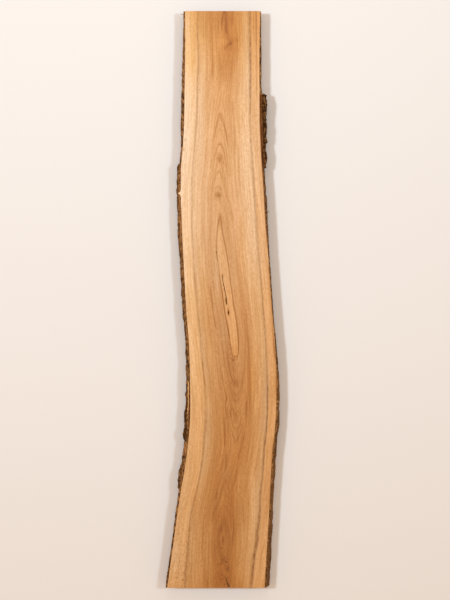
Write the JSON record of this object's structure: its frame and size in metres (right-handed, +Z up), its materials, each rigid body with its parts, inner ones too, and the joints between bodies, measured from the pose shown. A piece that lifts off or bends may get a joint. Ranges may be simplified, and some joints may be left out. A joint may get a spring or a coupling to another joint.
{
  "type": "walnut wood slab",
  "caption": "Long sawn walnut plank with curved natural edges that keep their bark, a flat face and back, and square ends; it lies flat on its back.",
  "frame": {"origin": "under the middle of the slab's bounding box, on the surface that it lies on", "axes": "+Z up through the face, +Y along the slab from its wide foot to its narrow head, +X to the right as the face is looked at with the head up"},
  "size_m": [0.3962, 2, 0.05],
  "materials": {
    "wood": "planed, bare, satin",
    "bark": "rough, dry, furrowed"
  },
  "bodies": {
    "root": {"slab_wood": "wood", "left_bark": "bark", "right_bark": "bark"}
  },
  "joints": []
}
